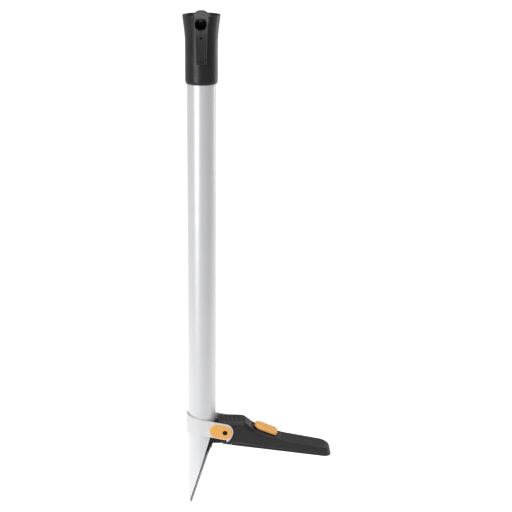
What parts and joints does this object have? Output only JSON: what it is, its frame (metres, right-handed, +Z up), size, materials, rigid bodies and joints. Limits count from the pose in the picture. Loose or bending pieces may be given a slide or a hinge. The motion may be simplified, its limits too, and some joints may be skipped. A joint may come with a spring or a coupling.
{
  "type": "planting tube",
  "caption": "Foot-operated planting tube: a long tube with a funnel mouth, hand grip, pointed foot, hinged jaw, pedal and slide lock.",
  "frame": {"origin": "centre of the tube's upper end, where the funnel begins", "axes": "+Z up the tube, +X towards the pedal, -Y towards the person holding the grip"},
  "size_m": [0.266, 0.1718, 0.9],
  "materials": {
    "tube_metal": "satin anodised tube",
    "collar_metal": "smooth white-silver coating",
    "black_plastic": "fine moulded texture, slightly glossy",
    "pedal_plastic": "moulded, satin",
    "orange_plastic": "satin moulded plastic",
    "dark_steel": "black oxide",
    "jaw_steel": "darkened, worn by soil",
    "zinc_steel": "zinc plated",
    "spring_steel": "oiled wire",
    "bronze": "turned"
  },
  "bodies": {
    "root": {"tube": "tube_metal", "funnel_sleeve": "black_plastic", "sleeve_screws": "zinc_steel", "grip": "black_plastic", "grip_brace": "black_plastic", "brace_screw": "dark_steel", "collar_strap": "collar_metal", "collar_rivets": "zinc_steel", "front_pivot_plate": "orange_plastic", "rear_pivot_plate": "orange_plastic", "pivot_bolt": "dark_steel", "pivot_nut": "zinc_steel", "pivot_bush": "bronze", "pivot_washers": "black_plastic", "lock_hub": "dark_steel", "return_springs": "spring_steel", "jaw_pin": "zinc_steel"},
    "pedal": {"pedal_shell": "pedal_plastic", "pedal_base": "pedal_plastic", "base_screws": "zinc_steel", "link_pins": "zinc_steel"},
    "jaw": {"jaw_carrier": "dark_steel", "jaw_plate": "jaw_steel", "jaw_rivets": "zinc_steel"},
    "latch": {"latch_slider": "orange_plastic", "lock_bar": "zinc_steel", "latch_screw": "zinc_steel"}
  },
  "joints": [
    {"name": "pedal_hinge", "type": "hinge", "parent": "root", "child": "pedal", "pos_m": [0.0413, 0, -0.70193], "axis": [0, 1, 0], "range_deg": [0, 20], "stiffness_Nm_per_rad": 1.5, "springref_deg": -22.92},
    {"name": "jaw_hinge", "type": "hinge", "parent": "root", "child": "jaw", "pos_m": [0.0258, 0, -0.69903], "axis": [0, 1, 0], "range_deg": [-21, 0]},
    {"name": "latch_slide", "type": "slide", "parent": "pedal", "child": "latch", "axis": [-0.9272, 0, 0.3746], "range_m": [0, 0.0055]}
  ],
  "couplings": [
    {"joint": "jaw_hinge", "follows": "pedal_hinge", "ratio": -1.05}
  ]
}
